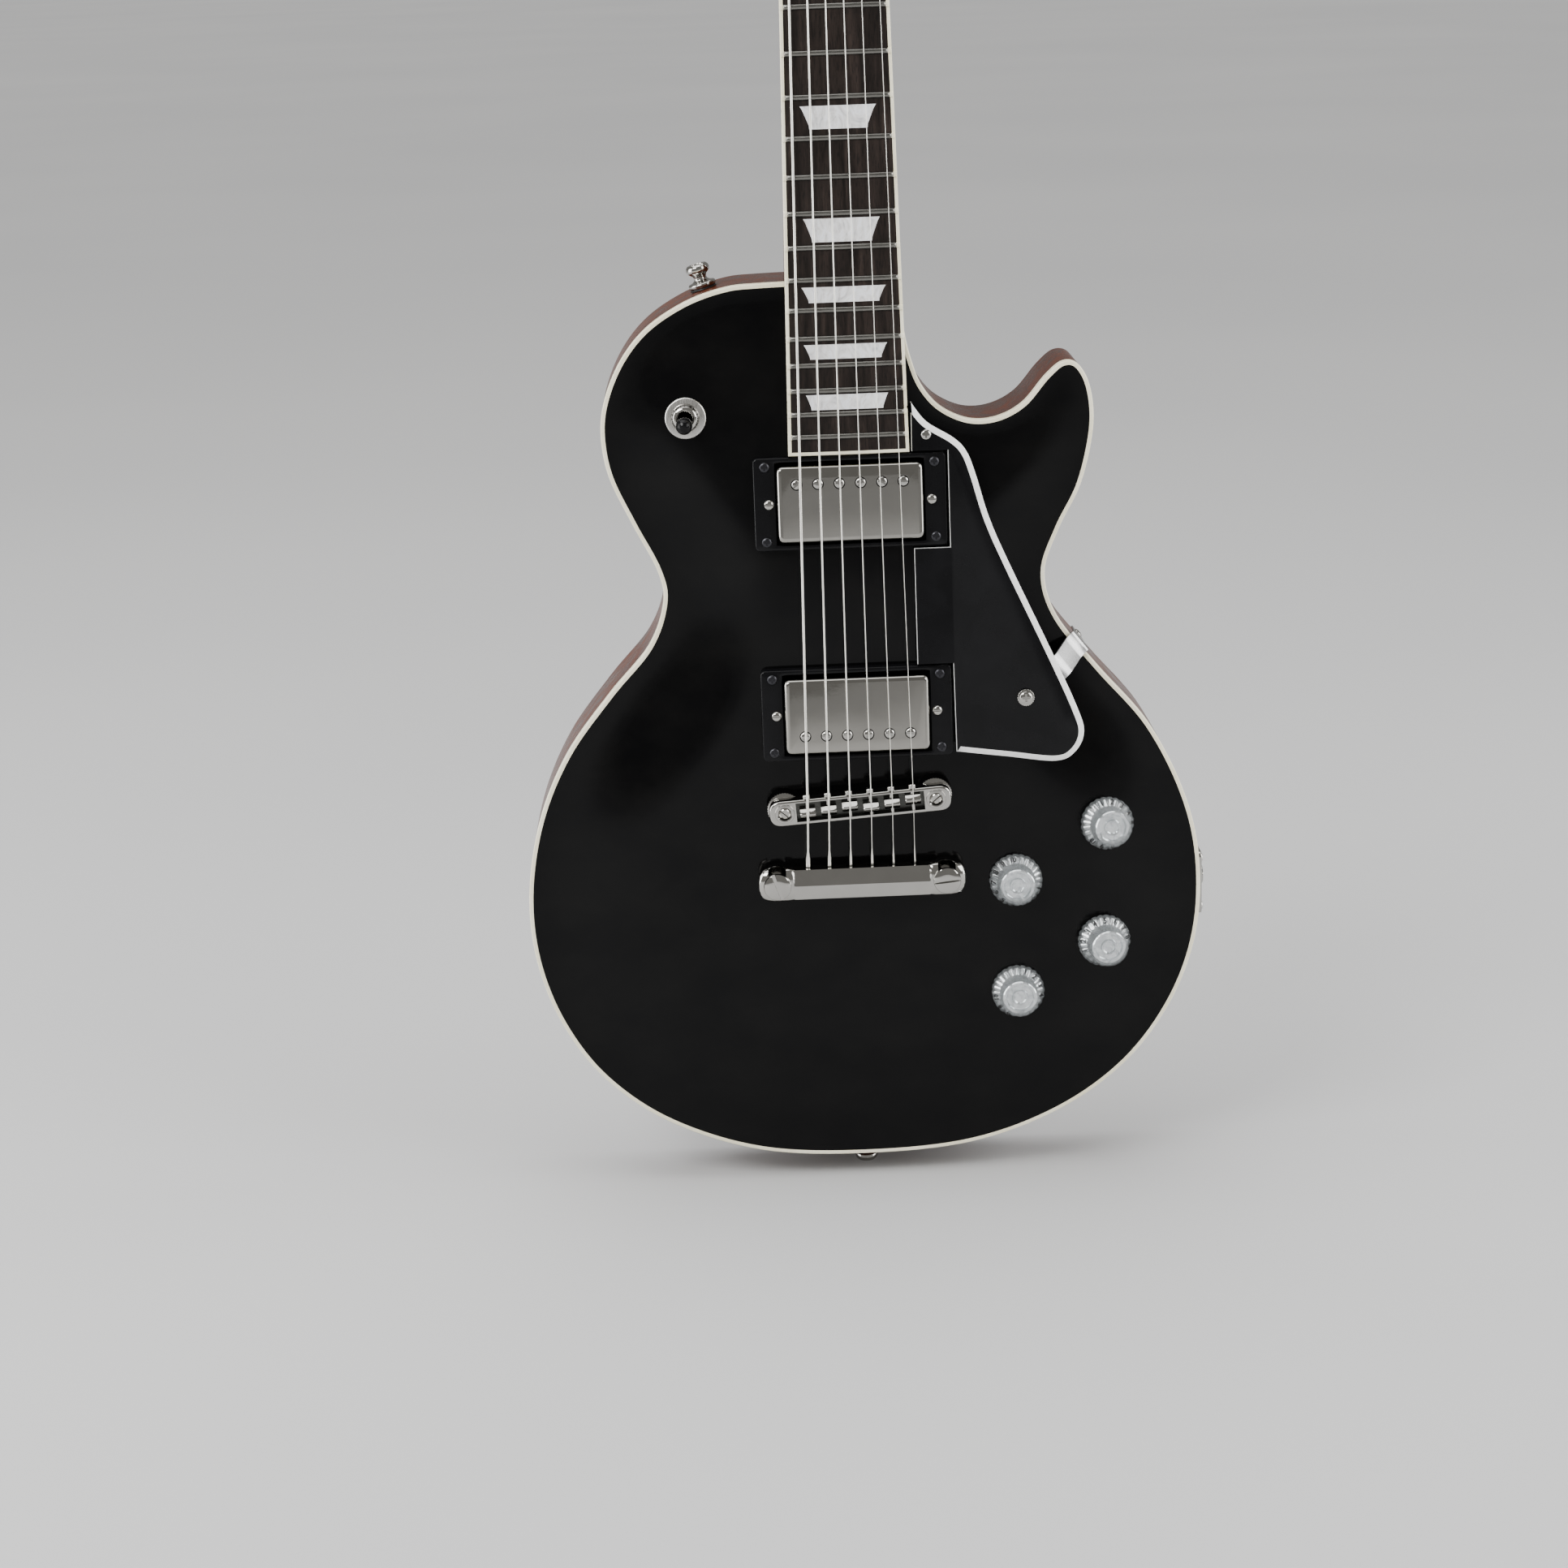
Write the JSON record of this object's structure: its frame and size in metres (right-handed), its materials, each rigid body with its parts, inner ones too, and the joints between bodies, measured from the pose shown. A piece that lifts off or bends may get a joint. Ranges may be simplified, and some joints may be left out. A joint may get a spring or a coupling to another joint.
{
  "type": "electric guitar",
  "caption": "Single-cutaway solid-body electric guitar with carved top, set neck, humbucking pickups, stop tailpiece, raised pickguard and geared tuners.",
  "frame": {"origin": "centre of the end strap button's flat outer face, on the guitar's centre line and at mid-depth of the rim", "axes": "+Z from the end strap button to the headstock, -Y out of the front (strings side), +X towards the treble (cutaway) side"},
  "size_m": [0.3358, 0.1306, 1.0086],
  "materials": {
    "lacquered_mahogany": "clear gloss lacquer over red-brown mahogany",
    "black_lacquer": "gloss black lacquer",
    "cream_plastic": "satin cream binding",
    "black_plastic": "gloss black, laminated with white at its edge",
    "satin_chrome": "satin to polished nickel and chrome",
    "coil_black": "matte black bobbins with steel poles",
    "rosewood": "oiled dark rosewood with pearl inlays and nickel frets",
    "nut_bone": "polished off-white",
    "steel": "zinc-plated steel",
    "clear_knob": "clear acrylic over a silver insert with plain numerals",
    "string_steel": "nickel-wound and plain steel"
  },
  "bodies": {
    "root_body": {"body_back": "lacquered_mahogany", "body_binding": "cream_plastic", "body_top": "black_lacquer", "bridge": "satin_chrome", "bridge_pickup_coils": "coil_black", "bridge_pickup_cover": "satin_chrome", "bridge_pickup_ring": "black_plastic", "bridge_post_bass": "satin_chrome", "bridge_post_treble": "satin_chrome", "control_cover": "black_plastic", "control_plate": "steel", "end_strap_button": "satin_chrome", "fingerboard": "rosewood", "fingerboard_binding": "cream_plastic", "headstock_veneer": "black_lacquer", "neck": "lacquered_mahogany", "neck_pickup_coils": "coil_black", "neck_pickup_cover": "satin_chrome", "neck_pickup_ring": "black_plastic", "nut": "nut_bone", "output_jack": "satin_chrome", "pickguard": "black_plastic", "pickguard_bracket": "satin_chrome", "shoulder_strap_button": "satin_chrome", "string_1": "string_steel", "string_2": "string_steel", "string_3": "string_steel", "string_4": "string_steel", "string_5": "string_steel", "string_6": "string_steel", "switch_body": "satin_chrome", "switch_cover": "black_plastic", "tailpiece": "satin_chrome", "tailpiece_stud_bass": "satin_chrome", "tailpiece_stud_treble": "satin_chrome", "truss_rod": "steel", "truss_rod_cover": "black_plastic", "tuner_housing_bass_1": "satin_chrome", "tuner_housing_bass_2": "satin_chrome", "tuner_housing_bass_3": "satin_chrome", "tuner_housing_treble_1": "satin_chrome", "tuner_housing_treble_2": "satin_chrome", "tuner_housing_treble_3": "satin_chrome"},
    "knob_bass_side_upper": {"knob_bass_side_upper": "clear_knob"},
    "knob_treble_side_upper": {"knob_treble_side_upper": "clear_knob"},
    "knob_bass_side_lower": {"knob_bass_side_lower": "clear_knob"},
    "knob_treble_side_lower": {"knob_treble_side_lower": "clear_knob"},
    "switch_lever": {"switch_lever": "black_plastic"},
    "tuner_button_bass_1": {"tuner_button_bass_1": "satin_chrome"},
    "tuner_post_bass_1": {"tuner_post_bass_1": "satin_chrome"},
    "tuner_button_bass_2": {"tuner_button_bass_2": "satin_chrome"},
    "tuner_post_bass_2": {"tuner_post_bass_2": "satin_chrome"},
    "tuner_button_bass_3": {"tuner_button_bass_3": "satin_chrome"},
    "tuner_post_bass_3": {"tuner_post_bass_3": "satin_chrome"},
    "tuner_button_treble_1": {"tuner_button_treble_1": "satin_chrome"},
    "tuner_post_treble_1": {"tuner_post_treble_1": "satin_chrome"},
    "tuner_button_treble_2": {"tuner_button_treble_2": "satin_chrome"},
    "tuner_post_treble_2": {"tuner_post_treble_2": "satin_chrome"},
    "tuner_button_treble_3": {"tuner_button_treble_3": "satin_chrome"},
    "tuner_post_treble_3": {"tuner_post_treble_3": "satin_chrome"}
  },
  "joints": [
    {"name": "knob_bass_side_upper_turn", "type": "hinge", "parent": "root_body", "child": "knob_bass_side_upper", "pos_m": [0.0755, -0.0368, 0.1574], "axis": [0, -1, 0], "range_deg": [-270, 0]},
    {"name": "knob_treble_side_upper_turn", "type": "hinge", "parent": "root_body", "child": "knob_treble_side_upper", "pos_m": [0.1206, -0.03427, 0.1837], "axis": [0.1227, -0.9915, 0.0442], "range_deg": [-270, 0]},
    {"name": "knob_bass_side_lower_turn", "type": "hinge", "parent": "root_body", "child": "knob_bass_side_lower", "pos_m": [0.0757, -0.03687, 0.1002], "axis": [0.0037, -1, -0.0046], "range_deg": [-270, 0]},
    {"name": "knob_treble_side_lower_turn", "type": "hinge", "parent": "root_body", "child": "knob_treble_side_lower", "pos_m": [0.1185, -0.03526, 0.1241], "axis": [0.1085, -0.9936, -0.0314], "range_deg": [-270, 0]},
    {"name": "switch_toggle", "type": "hinge", "parent": "root_body", "child": "switch_lever", "pos_m": [-0.0764, -0.0291, 0.389], "axis": [0.9987, -0.0509, 0], "range_deg": [-24, 0]},
    {"name": "tuner_button_bass_1_turn", "type": "hinge", "parent": "root_body", "child": "tuner_button_bass_1", "pos_m": [-0.0495, 0.0385, 0.8759], "axis": [-1, 0, 0], "continuous": true},
    {"name": "tuner_post_bass_1_turn", "type": "hinge", "parent": "root_body", "child": "tuner_post_bass_1", "pos_m": [-0.0255, 0.01642, 0.87485], "axis": [0, -0.9483, 0.3173], "continuous": true},
    {"name": "tuner_button_bass_2_turn", "type": "hinge", "parent": "root_body", "child": "tuner_button_bass_2", "pos_m": [-0.051, 0.0531, 0.91952], "axis": [-1, 0, 0], "continuous": true},
    {"name": "tuner_post_bass_2_turn", "type": "hinge", "parent": "root_body", "child": "tuner_post_bass_2", "pos_m": [-0.027, 0.03102, 0.91847], "axis": [0, -0.9483, 0.3173], "continuous": true},
    {"name": "tuner_button_bass_3_turn", "type": "hinge", "parent": "root_body", "child": "tuner_button_bass_3", "pos_m": [-0.0525, 0.06769, 0.96315], "axis": [-1, 0, 0], "continuous": true},
    {"name": "tuner_post_bass_3_turn", "type": "hinge", "parent": "root_body", "child": "tuner_post_bass_3", "pos_m": [-0.0285, 0.04562, 0.9621], "axis": [0, -0.9483, 0.3173], "continuous": true},
    {"name": "tuner_button_treble_1_turn", "type": "hinge", "parent": "root_body", "child": "tuner_button_treble_1", "pos_m": [0.0495, 0.0385, 0.8759], "axis": [1, 0, 0], "continuous": true},
    {"name": "tuner_post_treble_1_turn", "type": "hinge", "parent": "root_body", "child": "tuner_post_treble_1", "pos_m": [0.0255, 0.01642, 0.87485], "axis": [0, -0.9483, 0.3173], "continuous": true},
    {"name": "tuner_button_treble_2_turn", "type": "hinge", "parent": "root_body", "child": "tuner_button_treble_2", "pos_m": [0.051, 0.0531, 0.91952], "axis": [1, 0, 0], "continuous": true},
    {"name": "tuner_post_treble_2_turn", "type": "hinge", "parent": "root_body", "child": "tuner_post_treble_2", "pos_m": [0.027, 0.03102, 0.91847], "axis": [0, -0.9483, 0.3173], "continuous": true},
    {"name": "tuner_button_treble_3_turn", "type": "hinge", "parent": "root_body", "child": "tuner_button_treble_3", "pos_m": [0.0525, 0.06769, 0.96315], "axis": [1, 0, 0], "continuous": true},
    {"name": "tuner_post_treble_3_turn", "type": "hinge", "parent": "root_body", "child": "tuner_post_treble_3", "pos_m": [0.0285, 0.04562, 0.9621], "axis": [0, -0.9483, 0.3173], "continuous": true}
  ],
  "couplings": [
    {"joint": "tuner_post_bass_1_turn", "follows": "tuner_button_bass_1_turn", "ratio": 0.071429},
    {"joint": "tuner_post_bass_2_turn", "follows": "tuner_button_bass_2_turn", "ratio": 0.071429},
    {"joint": "tuner_post_bass_3_turn", "follows": "tuner_button_bass_3_turn", "ratio": 0.071429},
    {"joint": "tuner_post_treble_1_turn", "follows": "tuner_button_treble_1_turn", "ratio": -0.071429},
    {"joint": "tuner_post_treble_2_turn", "follows": "tuner_button_treble_2_turn", "ratio": -0.071429},
    {"joint": "tuner_post_treble_3_turn", "follows": "tuner_button_treble_3_turn", "ratio": -0.071429}
  ]
}
